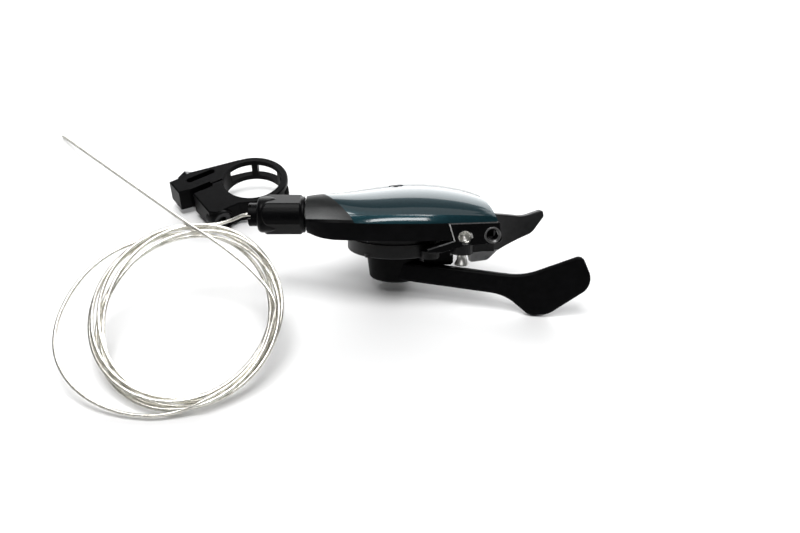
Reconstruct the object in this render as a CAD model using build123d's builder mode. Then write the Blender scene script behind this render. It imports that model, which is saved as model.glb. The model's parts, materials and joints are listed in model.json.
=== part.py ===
# A right-hand trigger gear shifter, set down on a table, with its gear cable
# coiled beside it and its handlebar clamp taken off.
#
# The shifter is drawn upright in its own frame: the lever pivot is the Z axis,
# the underside of the lever hub is z = 0, +X points at the levers and -Y at
# the rider.  At the end it is tipped back until it rests on its thumb paddle.
# The cable and the clamp are drawn where they lie.  Millimetres and degrees.

import os
from math import cos, degrees, radians, sin, tan

from build123d import *

os.makedirs("parts", exist_ok=True)

# How the shifter lies
lay_angle = 18.0

# Clearances
running_gap = 0.05  # radial, a turning fit
pass_gap = 0.4  # between pieces that pass each other
small_gap = 0.3  # between pieces that nearly touch
thread_gap = 0.02  # radial, a screw in its thread
close_gap = 0.1  # between pieces that lie close together

# Thumb lever
hub_height = 10.0
hub_top_radius = 10.2
hub_bottom_radius = 9.0
hub_round = 1.2
neck_radius = 6.0
key_radius = 5.0
key_width = 8.0
bush_radius = 4.0
arm_angle = -9.8
arm_thickness = 4.2
paddle_thickness = 2.4
paddle_dish = 0.8
paddle_start = 37.0
paddle_root = 0.6  # extra thickness where the paddle leaves the arm
paddle_tip_set = 0.3  # of the tip, back from the arm's rider side
lever_edge = 1.0
lever_travel = 45.0
# side view of arm and paddle: distance along the arm, height, corner round
lever_outline = (
    (0.0, 1.3, 0.0),
    (37.8, -2.2, 14.0),
    (46.4, -9.3, 5.0),
    (52.5, -8.7, 8.0),
    (67.4, 2.4, 6.0),
    (62.9, 12.4, 2.2),
    (44.1, 4.4, 20.0),
    (0.0, 7.8, 0.0),
)

# Main axle
axle_radius = 2.5
axle_head_radius = 4.4
axle_head_height = 2.0
axle_head_edge = 0.4
washer_thickness = 0.4
axle_socket_radius = 2.0
axle_socket_depth = 1.4
head_recess_radius = 5.2
head_recess_depth = 3.0

# Base cup under the housing
cup_radius = 16.5
cup_depth = 6.7
cup_wall = 1.6
cup_floor = 1.6
cup_ear_angle = -50.0
cup_ear_radius = 3.2
cup_ear_reach = 17.2
cup_ear_height = 2.6
cup_screw_angles = (40.0, 105.0, 235.0)
cup_screw_inset = 1.4  # of the screws, in from the cup's edge
cup_screw_radius = 0.9
cup_screw_head_radius = 1.7
cup_screw_head_height = 1.2
cup_screw_socket = 0.8
cup_screw_boss = 1.9
cup_waist = (0.7, 0.93)  # share of the cup's depth
cup_waist_depth = 0.65
cup_edge = 0.6
cup_rib_angle = -44.0
cup_rib_width = 1.6
cup_rib_reach = 2.8

# Housing and cover
floor_thickness = 1.4
wall_height = 5.8
wall = 1.7
nose_end = -29.3
nose_radius = 6.1
cavity_start = -19.0
end_corner = (33.4, -14.2)
end_back = (22.0, 10.0)
skirt_share = 0.3
skirt_lean = 1.3
prow_tip = (-24.5, -6.5)
prow_front = (-12.5, -18.8)
prow_back = (-15.0, 7.5)
prow_front_bulge = (-20.6, -14.4)
prow_back_bulge = (-21.6, 1.6)
# x, front edge, back edge and crest height above the housing bottom
body_stations = (
    (-20.0, -16.3, 5.0, 13.2),
    (-10.0, -17.4, 13.0, 13.7),
    (4.0, -18.0, 18.0, 14.8),
    (18.0, -17.0, 16.0, 14.0),
    (28.0, -15.5, 10.0, 11.8),
    (34.0, -14.2, 4.0, 9.0),
)
cover_screw_radius = 1.2
cover_screw_head_radius = 2.1
cover_screw_head_height = 1.2
cover_screw_round = 0.4
cover_screw_sink = 1.6  # of its seat, below the crest
cover_screw_depth = 4.0
cover_screw_socket = 1.0
cover_boss_radius = 3.6

# Indexing parts
carrier_radius = 7.5
carrier_thickness = 1.8
ratchet_teeth = 24
ratchet_tip_radius = 9.4
ratchet_root_radius = 8.1
ratchet_thickness = 2.4
ratchet_tip_share = (0.08, 0.28)  # where a tooth's tip starts and ends
ratchet_holes = 6
ratchet_hole_radius = 0.8
spool_height = 5.0
spool_groove_height = 2.6  # of the groove's middle above the spool's foot
spool_groove_width = 1.0
spool_rims = (0.8, 0.6)  # thickness of its lower and its upper rim
spool_wrap_radius = 9.0
spool_flange_radius = 10.8
spool_bush_radius = 3.2
spool_boss_radius = 4.6
wrap_end_angle = 1.5
cable_head_angle = 16.0
cable_head_radius = 2.0
cable_head_length = 4.0
cable_head_edge = 0.3
pawl_thickness = 2.0
drive_pawl_circle = 11.6
drive_pawl_angle = 150.0
drive_pawl_nose_angle = 194.0
drive_pawl_boss = 1.8
drive_pawl_toe = (1.3, -12.0)  # out from the tooth tips, angle from its nose
drive_pawl_toe_radius = 0.7
drive_pawl_nose = ((2.0, -12.0), (0.7, -13.0), (-0.8, -2.2), (small_gap, -0.5))
drive_pin_radius = 1.0
hold_pawl_pivot = (0.0, -13.8)
hold_pawl_boss = 2.1
hold_pin_radius = 1.0
hold_nose_angle = -46.0
hold_nose_back = (1.3, 7.0)  # out from the tooth tips, angle from its nose
hold_pawl_elbow = (6.4, 2.4)  # from its pivot
hold_pawl_elbow_radius = 1.4
hold_pawl_front = ((4.6, -12.4), (3.4, -9.9))
hold_pawl_belly = (8.0, -12.9)
hold_tail_gap = 0.15  # from its tail to the release pin
hold_tail_root = (11.0, 0.6)
hold_tail_reach = (-1.4, 1.1)  # where its tail starts and ends, from the pin
hold_tail_depth = 1.5
floor_opening_radius = 11.4
spring_strip = 0.6
lever_spring_turns = 3
lever_spring_pitch = 1.5
lever_spring_height = 3.0
spool_spring_turns = 2
spool_spring_pitch = 1.5
spool_spring_height = 1.5

# Release lever
release_pivot = (22.0, -8.5)
release_screw_radius = 1.5
release_head_radius = 2.2
release_head_height = 3.2
release_head_round = 0.6
release_screw_end = 1.5  # below the housing's rim
release_socket_radius = 1.1
release_bush_radius = 2.4
release_hub_radius = 3.8
release_hub_bottom = 10.6
release_angle = 22.4
release_thickness = 2.4
blade_start = 11.4
# side view of the blade: distance along it, height, corner round
blade_outline = (
    (12.0, 23.0, 0.0),
    (23.4, 20.8, 10.0),
    (30.2, 22.8, 0.9),
    (30.6, 20.4, 1.2),
    (26.6, 14.8, 5.0),
    (12.9, 10.0, 0.0),
)
release_dish = 1.4
release_edge = 0.5
release_pin_clear = 2.37  # from the cup's edge to the pin's middle
release_pin_angle = -32.0
release_pin_radius = 0.9
release_pin_seat = 3.0
release_pin_wall = 0.8
release_travel = 12.0
release_boss_radius = 3.0
release_spring_wire = 0.4
release_spring_start = -20.0
release_spring_sweep = 210.0
release_spring_leg = 2.0

# Mount bracket
bracket_left = (17.2, -17.6)
bracket_yaw = 8.0
bracket_length = 18.2
bracket_bottom = 15.7
bracket_top = 22.8
bracket_depth = 3.8
bracket_slant = 2.4
bracket_corner = 1.5
bracket_edge = 0.35
bracket_drop = 0.7  # of its left end, below its right
mount_hole_radius = 2.1
mount_holes = (
    (5.5, bracket_bottom + 2.2),
    (bracket_length - 3.6, bracket_bottom + 2.7),
)
mount_hole_chamfer = 0.45
backing_start = 2.6
backing_thickness = 0.8
bracket_leg_reach = 7.0
bracket_leg_toe = 1.4
bracket_leg_width = 4.8

# Cable adjuster
barrel_gap = 0.5
barrel_length = 15.8
barrel_radius = 6.1
barrel_round = 1.6
barrel_rear_round = 0.5
barrel_flats = 6
barrel_flat_depth = 0.5
barrel_flat_width = 6.0
barrel_flat_corner = 2.2
barrel_flat_margin = 0.6
barrel_land = 1.9
spigot_radius = 4.3
spigot_length = 7.6
stem_radius = 3.85
stem_thread_radius = 3.0
stem_show = 3.0
stem_thread_length = 9.0
stem_notches = 6
stem_notch_width = 1.3
stem_notch_depth = 1.1
stem_edge = 0.3
ferrule_radius = 2.6
ferrule_depth = 1.9
adjuster_travel = 3.0
stem_cover = 0.7  # of the stem's neck, left in the barrel at full travel

# Cable
cable_radius = 0.6
cable_bore = 0.95
cable_bend_share = 0.45  # of the shorter run at a corner, taken up by its bend

# Clamp, lying on its side with its bore nearly upright
clamp_centre = (-55.2, 55.0)
clamp_turn = 214.8  # direction of its ears, seen from above
clamp_lean = 10.0  # towards the rider's side, propped on a foot under its rear ear
clamp_foot = (8.0, -13.4)
clamp_foot_size = (5.0, 3.4)
clamp_bore_radius = 11.1
clamp_wall = 2.5
clamp_width = 9.0
clamp_window_angles = (-92.8, -152.8, 147.2)
clamp_window_span = 48.0
clamp_rim = 2.0
clamp_gap = 3.0
clamp_gap_start = 13.9
clamp_slit = 0.8
clamp_bolt_reach = 18.6
clamp_bolt_radius = 2.0
clamp_bolt_head_radius = 3.5
clamp_boss_radius = 4.5
clamp_front_face = 9.6
clamp_rear_face = -17.6
clamp_front_end = 22.4
clamp_rear_end = 26.6
clamp_gap_middle = -6.5
clamp_blend = 2.0
clamp_bevel = 0.8
clamp_edge = 0.4
clamp_pad = 5.0
clamp_boss_sink = 4.0
clamp_boss_show = 1.0
clamp_pocket = (15.2, 4.6)  # along the ears, in from the rear face
clamp_pocket_size = (12.0, 2.6)
clamp_head_sink = 2.6
clamp_head_show = 0.4
clamp_socket_radius = 2.0
clamp_nut_radius = 3.6
clamp_nut_height = 2.6

# Places that follow from other pieces
cup_screw_circle = cup_radius - cup_screw_inset

# Levels of the stack along the pivot, from the hub up
cup_bottom = hub_height + small_gap
housing_bottom = cup_bottom + cup_depth
housing_floor = housing_bottom + floor_thickness
parting = housing_bottom + wall_height
carrier_bottom = housing_bottom - pass_gap
carrier_top = carrier_bottom + carrier_thickness
ratchet_bottom = carrier_top + pass_gap
ratchet_top = ratchet_bottom + ratchet_thickness
spool_top = ratchet_top + spool_height
cable_level = ratchet_top + spool_groove_height
pawl_bottom = housing_floor + small_gap
pawl_top = pawl_bottom + pawl_thickness
body_crest = housing_bottom + max(station[3] for station in body_stations)
axle_top = spool_top + spool_spring_height + 2 * pass_gap
adjuster_y = -spool_wrap_radius
stem_neck = adjuster_travel + stem_cover


def polar(radius, angle):
    return (radius * cos(radians(angle)), radius * sin(radians(angle)))


def turned(point, about, angle):
    # a plan point turned about another
    x = point[0] - about[0]
    y = point[1] - about[1]
    c = cos(radians(angle))
    s = sin(radians(angle))
    return (about[0] + x * c - y * s, about[1] + x * s + y * c)


def rounded_outline(corners):
    # a closed outline from corners that each have their own round
    FilletPolyline(
        *[corner[:2] for corner in corners],
        radius=[corner[2] for corner in corners],
        close=True,
    )


def along_x(x, y=0.0, z=0.0):
    # a plane square to the X axis, whose own axes are Y and Z
    return Plane(origin=(x, y, z), x_dir=(0, 1, 0), z_dir=(1, 0, 0))


release_pin = polar(cup_radius + release_pin_clear, release_pin_angle)


# Outer form of the body: sections across X, lofted
def body_section(station, inset, floor):
    x, front, back, crest = station
    low = housing_bottom + floor
    high = housing_bottom + crest - inset
    skirt = parting + skirt_share * (high - parting)
    front = front + inset
    back = back - inset
    middle = (front + back) / 2
    with BuildSketch(along_x(x)) as section:
        with BuildLine():
            Polyline(
                (back - skirt_lean, skirt),
                (back, parting),
                (back, low),
                (front, low),
                (front, parting),
                (front + skirt_lean, skirt),
            )
            ThreePointArc(
                (front + skirt_lean, skirt), (middle, high), (back - skirt_lean, skirt)
            )
        make_face()
    return section.sketch.face()


def nose_section(x):
    # a circle in six arcs, one for each edge of the sections that follow it
    corner_angles = (15, -10, -55, 235, 190, 165)
    middle_angles = (2.5, -32.5, -90, 212.5, 177.5, 90)
    plane = along_x(x, adjuster_y, cable_level)
    corners = [plane.from_local_coords(polar(nose_radius, angle)) for angle in corner_angles]
    middles = [plane.from_local_coords(polar(nose_radius, angle)) for angle in middle_angles]
    arcs = []
    for index, middle in enumerate(middles):
        following = corners[(index + 1) % len(corners)]
        arcs.append(Edge.make_three_point_arc(corners[index], middle, following))
    return Face(Wire(arcs))


end_run = Vector(end_corner[0] - end_back[0], end_corner[1] - end_back[1])
end_normal = Vector(-end_run.Y, end_run.X).normalized()


def end_plane(inset):
    corner = Vector(*end_corner) - end_normal * inset
    return Plane(origin=(corner.X, corner.Y, 0), x_dir=(0, 0, 1), z_dir=(end_normal.X, end_normal.Y, 0))


outer_sections = [nose_section(nose_end)]
outer_sections += [body_section(station, 0.0, 0.0) for station in body_stations]
inner_sections = [body_section(station, wall, floor_thickness) for station in body_stations]

with BuildPart() as body_form:
    loft(outer_sections)
    split(bisect_by=end_plane(0.0), keep=Keep.BOTTOM)
    split(bisect_by=Plane.XY.offset(housing_bottom), keep=Keep.TOP)

with BuildPart() as body_cavity:
    loft(inner_sections)
    split(bisect_by=end_plane(wall), keep=Keep.BOTTOM)
    split(bisect_by=along_x(cavity_start), keep=Keep.TOP)

# Plan shape of the cover, with a prow that runs out on to the nose
far = 60.0
with BuildSketch(Plane.XY.offset(parting)) as cover_plan:
    with BuildLine():
        ThreePointArc(prow_front, prow_front_bulge, prow_tip)
        ThreePointArc(prow_tip, prow_back_bulge, prow_back)
        Polyline(
            prow_back,
            (prow_back[0], far),
            (far, far),
            (far, -far),
            (prow_front[0], -far),
            prow_front,
        )
    make_face()

# Bracket plane: x runs along its face, y is up, z points at the rider
bracket_x_dir = (cos(radians(bracket_yaw)), sin(radians(bracket_yaw)), 0)
bracket_z_dir = (sin(radians(bracket_yaw)), -cos(radians(bracket_yaw)), 0)


def bracket_plane(back=0.0):
    return Plane(
        origin=(
            bracket_left[0] - back * bracket_z_dir[0],
            bracket_left[1] - back * bracket_z_dir[1],
            0,
        ),
        x_dir=bracket_x_dir,
        z_dir=bracket_z_dir,
    )


def bracket_outline():
    return Polyline(
        (0, bracket_top),
        (bracket_slant, bracket_bottom - bracket_drop),
        (bracket_length, bracket_bottom),
        (bracket_length - bracket_slant / 2, bracket_top),
        close=True,
    )


with BuildPart() as mount_bracket:
    with BuildSketch(bracket_plane()):
        with BuildLine():
            bracket_outline()
        face = make_face()
        fillet(face.vertices().sort_by(Axis.X)[-2:], bracket_corner)
    extrude(amount=-bracket_depth)
    # leg that reaches down to the ear of the base cup
    leg_foot = cup_bottom + cup_ear_height
    with BuildSketch(bracket_plane()):
        with BuildLine():
            Polyline(
                (bracket_slant, bracket_bottom + bracket_leg_toe),
                (bracket_slant + bracket_leg_width, bracket_bottom + bracket_leg_toe),
                (bracket_slant + bracket_leg_width, bracket_bottom),
                (bracket_leg_width - bracket_leg_reach, leg_foot),
                (-bracket_leg_reach, leg_foot),
                (-bracket_leg_reach, leg_foot + bracket_leg_toe),
                close=True,
            )
        make_face()
    extrude(amount=-bracket_depth)
    front_face = mount_bracket.faces().sort_by(Axis((0, 0, 0), bracket_z_dir))[-1]
    chamfer(front_face.outer_wire().edges(), bracket_edge)
    with Locations(
        *[
            bracket_plane().shift_origin(bracket_plane().from_local_coords((*place, 0)))
            for place in mount_holes
        ]
    ):
        CounterSinkHole(
            radius=mount_hole_radius,
            counter_sink_radius=mount_hole_radius + mount_hole_chamfer,
            depth=bracket_depth,
        )

# Room for the bracket in the housing's wall, and the wall behind its holes
with BuildPart() as bracket_room:
    with BuildSketch(bracket_plane(bracket_depth)):
        with BuildLine():
            bracket_outline()
        make_face()
        offset(amount=small_gap, kind=Kind.INTERSECTION)
    extrude(amount=far)

with BuildPart() as backing_plate:
    with BuildSketch(bracket_plane(bracket_depth)):
        with Locations((backing_start, housing_bottom)):
            Rectangle(bracket_length, wall_height, align=Align.MIN)
    extrude(amount=-backing_thickness)
    add(body_form.part, mode=Mode.INTERSECT)

# Housing: tray, nose and the spigot that the adjuster turns on
carrier_lobe_reach = drive_pawl_circle + drive_pawl_boss + small_gap
lobe_margin = degrees((drive_pawl_boss + 3 * small_gap) / drive_pawl_circle)
stem_back = nose_end - barrel_gap - barrel_length + stem_neck + stem_thread_length

with BuildPart() as housing:
    add(body_form.part)
    add(body_cavity.part, mode=Mode.SUBTRACT)
    extrude(cover_plan.sketch, amount=far, mode=Mode.SUBTRACT)
    add(bracket_room.part, mode=Mode.SUBTRACT)
    add(backing_plate.part)
    with BuildSketch(Plane.XY.offset(housing_bottom)):
        Circle(floor_opening_radius)
        with BuildLine():
            sweep_start = drive_pawl_angle - lobe_margin
            sweep_angle = lever_travel + 2 * lobe_margin
            lobe_edge = CenterArc((0, 0), carrier_lobe_reach, sweep_start, sweep_angle)
            Polyline(lobe_edge @ 1, (0, 0), lobe_edge @ 0)
        make_face()
    extrude(amount=floor_thickness, mode=Mode.SUBTRACT)
    with BuildSketch(Plane.XY.offset(housing_bottom)):
        with Locations(release_pivot):
            Circle(release_boss_radius)
    extrude(amount=wall_height - 1.0)
    with BuildSketch(Plane.XY.offset(housing_bottom)):
        with Locations(release_pivot):
            Circle(release_screw_radius + thread_gap)
        with Locations(hold_pawl_pivot):
            Circle(hold_pin_radius + thread_gap)
        with Locations(*[polar(cup_screw_circle, angle) for angle in cup_screw_angles]):
            Circle(cup_screw_radius + thread_gap)
    extrude(amount=wall_height, mode=Mode.SUBTRACT)
    with BuildSketch(Plane.XY.offset(housing_bottom)):
        with Locations(release_pin, turned(release_pin, release_pivot, release_travel)):
            Circle(release_pin_radius + small_gap)
        make_hull()
    extrude(amount=floor_thickness, mode=Mode.SUBTRACT)
    with BuildSketch(along_x(nose_end, adjuster_y, cable_level)):
        Circle(spigot_radius)
    extrude(amount=-spigot_length)
    with BuildSketch(along_x(nose_end - spigot_length, adjuster_y, cable_level)):
        Circle(stem_thread_radius + small_gap / 3)
    extrude(amount=stem_back - nose_end + spigot_length + pass_gap, mode=Mode.SUBTRACT)
    with BuildSketch(along_x(nose_end - spigot_length, adjuster_y, cable_level)):
        Circle(cable_bore)
    extrude(amount=cavity_start - nose_end + spigot_length + 3.0, mode=Mode.SUBTRACT)

# Cover: the painted lid, screwed to the top of the axle
cover_seat = body_crest - cover_screw_sink
with BuildPart() as cover:
    add(body_form.part)
    add(body_cavity.part, mode=Mode.SUBTRACT)
    extrude(cover_plan.sketch, amount=far, mode=Mode.INTERSECT)
    with BuildSketch(Plane.XY.offset(axle_top)):
        Circle(cover_boss_radius)
    extrude(amount=cover_seat - axle_top)
    with BuildSketch(Plane.XY.offset(axle_top)):
        Circle(cover_screw_radius + running_gap)
    extrude(amount=far, mode=Mode.SUBTRACT)
    with BuildSketch(Plane.XY.offset(cover_seat)):
        Circle(cover_screw_head_radius + small_gap)
    extrude(amount=far, mode=Mode.SUBTRACT)
    with BuildSketch(along_x(nose_end, adjuster_y, cable_level)):
        Circle(cable_bore)
    extrude(amount=cavity_start - nose_end + 3.0, mode=Mode.SUBTRACT)

with BuildPart() as cover_screw:
    with BuildSketch(Plane.XY.offset(axle_top - cover_screw_depth)):
        Circle(cover_screw_radius)
    extrude(amount=cover_screw_depth + cover_seat - axle_top)
    with BuildSketch(Plane.XY.offset(cover_seat)):
        Circle(cover_screw_head_radius)
    extrude(amount=cover_screw_head_height)
    fillet(cover_screw.edges().group_by(Axis.Z)[-1], cover_screw_round)
    with BuildSketch(Plane.XY.offset(cover_seat + cover_screw_head_height)):
        RegularPolygon(cover_screw_socket, 6)
    extrude(amount=-2 * cover_screw_head_height / 3, mode=Mode.SUBTRACT)

# Base cup: holds the lever's return spring
with BuildPart() as base_cup:
    with BuildSketch(Plane.XY.offset(cup_bottom)):
        Circle(cup_radius)
    extrude(amount=cup_depth)
    fillet(base_cup.edges().group_by(Axis.Z)[0], cup_edge)
    with BuildSketch(Plane.XY.offset(cup_bottom)):
        ear_root = cup_radius - cup_ear_radius
        with Locations(polar(cup_ear_reach, cup_ear_angle), polar(ear_root, cup_ear_angle)):
            Circle(cup_ear_radius)
        make_hull()
    extrude(amount=cup_ear_height)
    with BuildSketch(Plane.XY.offset(cup_bottom + cup_floor)):
        Circle(cup_radius - cup_wall)
    extrude(amount=cup_depth, mode=Mode.SUBTRACT)
    with BuildSketch(Plane.XY.offset(cup_bottom + cup_floor)):
        with Locations(*[polar(cup_screw_circle, angle) for angle in cup_screw_angles]):
            Circle(cup_screw_boss)
        Circle(cup_radius - cup_wall / 2, mode=Mode.INTERSECT)
    extrude(amount=cup_depth - cup_floor)
    # waist round the front of the cup
    with BuildSketch(Plane.XY.offset(cup_bottom + cup_depth * cup_waist[0])):
        Circle(cup_radius + cup_waist_depth)
        Circle(cup_radius - cup_waist_depth, mode=Mode.SUBTRACT)
    extrude(amount=cup_depth * (cup_waist[1] - cup_waist[0]), mode=Mode.SUBTRACT)
    # rib from the ear up to the housing
    with BuildSketch(Plane.XY.offset(cup_bottom)):
        with Locations(polar(cup_radius - cup_wall / 2, cup_rib_angle)):
            Rectangle(
                cup_rib_reach + cup_wall / 2,
                cup_rib_width,
                rotation=cup_rib_angle,
                align=(Align.MIN, Align.CENTER),
            )
    extrude(amount=cup_depth)
    with BuildSketch(Plane.XY.offset(cup_bottom)):
        Circle(neck_radius + pass_gap)
        with Locations(*[polar(cup_screw_circle, angle) for angle in cup_screw_angles]):
            Circle(cup_screw_radius + running_gap)
    extrude(amount=cup_depth, mode=Mode.SUBTRACT)
    with BuildSketch(Plane.XY.offset(cup_bottom)):
        with Locations(*[polar(cup_screw_circle, angle) for angle in cup_screw_angles]):
            Circle(cup_screw_head_radius + running_gap)
    extrude(amount=cup_screw_head_height, mode=Mode.SUBTRACT)

with BuildPart() as base_screws:
    with BuildSketch(Plane.XY.offset(cup_bottom)):
        with Locations(*[polar(cup_screw_circle, angle) for angle in cup_screw_angles]):
            Circle(cup_screw_head_radius)
    extrude(amount=cup_screw_head_height)
    with BuildSketch(Plane.XY.offset(cup_bottom)):
        with Locations(*[polar(cup_screw_circle, angle) for angle in cup_screw_angles]):
            RegularPolygon(cup_screw_socket, 6)
    extrude(amount=cup_screw_head_height / 2, mode=Mode.SUBTRACT)
    with BuildSketch(Plane.XY.offset(cup_bottom + cup_screw_head_height)):
        with Locations(*[polar(cup_screw_circle, angle) for angle in cup_screw_angles]):
            Circle(cup_screw_radius)
    extrude(amount=housing_floor - cup_bottom - cup_screw_head_height - small_gap)

# Main axle and the washer under the lever
lever_seat = head_recess_depth
with BuildPart() as main_axle:
    with BuildSketch(Plane.XY.offset(lever_seat - washer_thickness - axle_head_height)):
        Circle(axle_head_radius)
    extrude(amount=axle_head_height)
    chamfer(main_axle.edges().group_by(Axis.Z)[0], axle_head_edge)
    with BuildSketch(Plane.XY.offset(lever_seat - washer_thickness)):
        Circle(axle_radius)
    extrude(amount=axle_top - lever_seat + washer_thickness)
    with BuildSketch(Plane.XY.offset(lever_seat - washer_thickness - axle_head_height)):
        RegularPolygon(axle_socket_radius, 6)
    extrude(amount=axle_socket_depth, mode=Mode.SUBTRACT)
    with BuildSketch(Plane.XY.offset(axle_top)):
        Circle(cover_screw_radius + thread_gap)
    extrude(amount=-cover_screw_depth - small_gap, mode=Mode.SUBTRACT)

with BuildPart() as axle_washer:
    with BuildSketch(Plane.XY.offset(lever_seat - washer_thickness)):
        Circle(axle_head_radius)
        Circle(axle_radius + running_gap, mode=Mode.SUBTRACT)
    extrude(amount=washer_thickness)

# Thumb lever: hub, neck, arm and dished paddle in one forging
arm_plane = Plane(
    origin=(0, 0, 0),
    x_dir=(cos(radians(arm_angle)), sin(radians(arm_angle)), 0),
    z_dir=(sin(radians(arm_angle)), -cos(radians(arm_angle)), 0),
)
arm_face = -hub_bottom_radius  # rider side of the arm, across from the pivot
lever_reach = max(corner[0] for corner in lever_outline)

with BuildPart() as lever_side:
    with BuildSketch(arm_plane):
        with BuildLine():
            rounded_outline(lever_outline)
        make_face()
    extrude(amount=lever_reach, both=True)

with BuildPart() as thumb_lever:
    # plan view of the arm and paddle, trimmed to the side view
    with BuildSketch(Plane(origin=(0, 0, 0), x_dir=arm_plane.x_dir, z_dir=(0, 0, 1))):
        with BuildLine():
            paddle_middle = (paddle_start + lever_reach) / 2
            tip_face = arm_face + paddle_tip_set
            tip_back = tip_face + paddle_thickness
            root_back = arm_face + paddle_thickness + paddle_root
            dish_face = arm_face + paddle_dish
            dish_back = dish_face + paddle_thickness
            Line((0, arm_face), (paddle_start, arm_face))
            ThreePointArc((paddle_start, arm_face), (paddle_middle, dish_face), (lever_reach, tip_face))
            Line((lever_reach, tip_face), (lever_reach, tip_back))
            ThreePointArc((lever_reach, tip_back), (paddle_middle, dish_back), (paddle_start, root_back))
            Polyline(
                (paddle_start, root_back),
                (hub_top_radius, arm_face + arm_thickness),
                (0, 0),
                (0, arm_face),
            )
        make_face()
    extrude(amount=lever_reach, both=True)
    add(lever_side.part, mode=Mode.INTERSECT)
    outer_edges = thumb_lever.edges().filter_by(lambda e: e.center().X > hub_top_radius)
    fillet(outer_edges, lever_edge)
    with BuildSketch(Plane.XZ):
        with BuildLine():
            Polyline(
                (0, 0),
                (hub_bottom_radius, 0),
                (hub_top_radius, hub_height),
                (neck_radius, hub_height),
                (neck_radius, carrier_bottom),
                (0, carrier_bottom),
                close=True,
            )
        hub_profile = make_face()
        fillet(hub_profile.vertices().sort_by(Axis.X)[-2], hub_round)
    revolve(axis=Axis.Z)
    with BuildSketch(Plane.XY.offset(carrier_bottom)):
        Circle(key_radius)
        Rectangle(2 * key_radius, key_width, mode=Mode.INTERSECT)
    extrude(amount=carrier_thickness)
    with BuildSketch(Plane.XY):
        Circle(head_recess_radius)
    extrude(amount=lever_seat, mode=Mode.SUBTRACT)
    with BuildSketch(Plane.XY.offset(lever_seat)):
        Circle(bush_radius)
    extrude(amount=far, mode=Mode.SUBTRACT)

with BuildPart() as lever_bush:
    with BuildSketch(Plane.XY.offset(lever_seat)):
        Circle(bush_radius)
        Circle(axle_radius + running_gap, mode=Mode.SUBTRACT)
    extrude(amount=carrier_top - lever_seat)

# Pawl carrier, keyed on the lever's neck
drive_pivot = polar(drive_pawl_circle, drive_pawl_angle)
with BuildPart() as pawl_carrier:
    with BuildSketch(Plane.XY.offset(carrier_bottom)):
        Circle(carrier_radius)
        with Locations(drive_pivot):
            Circle(drive_pawl_boss)
        make_hull()
    extrude(amount=carrier_thickness)
    with BuildSketch(Plane.XY.offset(carrier_bottom)):
        Circle(key_radius)
        Rectangle(2 * key_radius, key_width, mode=Mode.INTERSECT)
        with Locations(drive_pivot):
            Circle(drive_pin_radius)
    extrude(amount=carrier_thickness, mode=Mode.SUBTRACT)

with BuildPart() as drive_pawl_pin:
    with BuildSketch(Plane.XY.offset(carrier_bottom)):
        with Locations(drive_pivot):
            Circle(drive_pin_radius)
    extrude(amount=pawl_top - carrier_bottom)


# Ratchet wheel: saw teeth whose steep faces look clockwise
def tooth_points():
    points = []
    step = 360.0 / ratchet_teeth
    for tooth in range(ratchet_teeth):
        start = tooth * step
        points.append(polar(ratchet_root_radius, start))
        points.append(polar(ratchet_tip_radius, start + ratchet_tip_share[0] * step))
        points.append(polar(ratchet_tip_radius, start + ratchet_tip_share[1] * step))
    return points


with BuildPart() as ratchet_wheel:
    with BuildSketch(Plane.XY.offset(ratchet_bottom)):
        with BuildLine():
            Polyline(*tooth_points(), close=True)
        make_face()
        Circle(spool_boss_radius, mode=Mode.SUBTRACT)
        with PolarLocations((ratchet_root_radius + spool_boss_radius) / 2, ratchet_holes):
            Circle(ratchet_hole_radius, mode=Mode.SUBTRACT)
    extrude(amount=ratchet_thickness)

# Cable spool
groove_floor = spool_wrap_radius - cable_radius - close_gap
flange = spool_flange_radius
with BuildPart() as cable_spool:
    with BuildSketch(Plane.XZ):
        with BuildLine():
            Polyline(
                (spool_bush_radius, ratchet_bottom),
                (spool_boss_radius, ratchet_bottom),
                (spool_boss_radius, ratchet_top),
                (flange, ratchet_top),
                (flange, ratchet_top + spool_rims[0]),
                (groove_floor, cable_level - spool_groove_width / 2),
                (groove_floor, cable_level + spool_groove_width / 2),
                (flange, spool_top - spool_rims[1]),
                (flange, spool_top),
                (spool_bush_radius, spool_top),
                close=True,
            )
        make_face()
    revolve(axis=Axis.Z)
    head_place = polar(spool_wrap_radius, cable_head_angle)
    head_plane = Plane(
        origin=(head_place[0], head_place[1], cable_level),
        x_dir=(0, 0, 1),
        z_dir=(-sin(radians(cable_head_angle)), cos(radians(cable_head_angle)), 0),
    )
    with BuildSketch(head_plane):
        Circle(cable_head_radius + close_gap)
    extrude(amount=(cable_head_length + pass_gap) / 2, both=True, mode=Mode.SUBTRACT)

with BuildPart() as spool_bush:
    with BuildSketch(Plane.XY.offset(ratchet_bottom)):
        Circle(spool_bush_radius)
        Circle(axle_radius + running_gap, mode=Mode.SUBTRACT)
    extrude(amount=spool_top - ratchet_bottom)

with BuildPart() as cable_head:
    with BuildSketch(head_plane):
        Circle(cable_head_radius)
    extrude(amount=cable_head_length / 2, both=True)
    chamfer(cable_head.edges(), cable_head_edge)

with BuildPart() as cable_wrap:
    wrap_plane = Plane(origin=(0, -spool_wrap_radius, cable_level), x_dir=(0, 1, 0), z_dir=(1, 0, 0))
    with BuildLine(Plane.XY.offset(cable_level)):
        CenterArc((0, 0), spool_wrap_radius, -90, 90 + wrap_end_angle)
    with BuildSketch(wrap_plane):
        Circle(cable_radius)
    sweep()


# Flat spiral springs made of half turns
def spiral(inner, turns, pitch):
    step = pitch / 2
    reach = inner
    side = 1
    for _ in range(2 * turns):
        start = (side * reach, 0)
        finish = (-side * (reach + step), 0)
        middle = ((start[0] + finish[0]) / 2, side * (reach + step / 2))
        ThreePointArc(start, middle, finish)
        reach += step
        side = -side


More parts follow.
